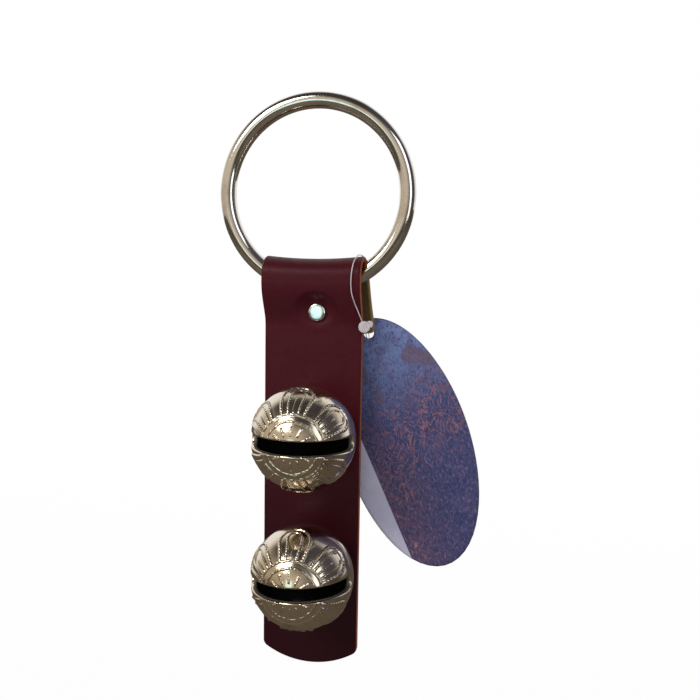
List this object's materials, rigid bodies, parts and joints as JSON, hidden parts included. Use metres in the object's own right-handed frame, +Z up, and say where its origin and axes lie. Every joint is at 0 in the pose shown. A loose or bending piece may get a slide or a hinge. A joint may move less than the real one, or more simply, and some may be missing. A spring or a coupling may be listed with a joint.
{
  "type": "sleigh bell door hanger",
  "caption": "Sleigh bells on a leather strap that folds over a round hanging ring, with a rivet, split pins and an oval tag on a nylon loop.",
  "frame": {"origin": "the top of the ring's inside, where the ring bears on the hook or knob that it hangs from", "axes": "+Z up along the hanging strap, -Y out of the front where the bells are, +X to the right seen from the front"},
  "size_m": [0.1029, 0.0536, 0.2228],
  "materials": {
    "ring_plate": "polished nickel plate on steel wire",
    "burgundy_leather": "semi-gloss bridle leather, tan edges and flesh side",
    "rivet_plate": "polished nickel plate",
    "bell_plate": "polished nickel plate on cast brass",
    "pellet_steel": "dull steel",
    "pin_steel": "bright wire",
    "printed_card": "coated card",
    "clear_nylon": "translucent nylon"
  },
  "bodies": {
    "ring": {"ring": "ring_plate"},
    "strap": {"strap": "burgundy_leather", "rivet_cap": "rivet_plate", "rivet_post": "rivet_plate", "tag_tie": "clear_nylon", "tag_tie_lock": "clear_nylon"},
    "upper_bell": {"upper_bell": "bell_plate", "upper_cotter_pin": "pin_steel"},
    "upper_pellet": {"upper_pellet": "pellet_steel"},
    "lower_bell": {"lower_bell": "bell_plate", "lower_cotter_pin": "pin_steel"},
    "lower_pellet": {"lower_pellet": "pellet_steel"},
    "tag": {"tag_card": "printed_card"}
  },
  "joints": [
    {"name": "strap_swing", "type": "hinge", "parent": "ring", "child": "strap", "pos_m": [0, 0, -0.06385], "axis": [1, 0, 0], "range_deg": [-45, 45]},
    {"name": "upper_bell_turn", "type": "hinge", "parent": "strap", "child": "upper_bell", "pos_m": [0.002, 0, -0.12085], "axis": [0, 1, 0], "continuous": true},
    {"name": "upper_pellet_roll", "type": "hinge", "parent": "upper_bell", "child": "upper_pellet", "pos_m": [0.002, -0.0243, -0.12085], "axis": [1, 0, 0], "continuous": true},
    {"name": "lower_bell_turn", "type": "hinge", "parent": "strap", "child": "lower_bell", "pos_m": [0.002, 0, -0.17265], "axis": [0, 1, 0], "continuous": true},
    {"name": "lower_pellet_roll", "type": "hinge", "parent": "lower_bell", "child": "lower_pellet", "pos_m": [0.002, -0.0243, -0.17265], "axis": [1, 0, 0], "continuous": true},
    {"name": "tag_swing", "type": "hinge", "parent": "strap", "child": "tag", "pos_m": [0.0203, 0.00525, -0.0844], "axis": [0, 1, 0], "range_deg": [-40, 60]}
  ]
}
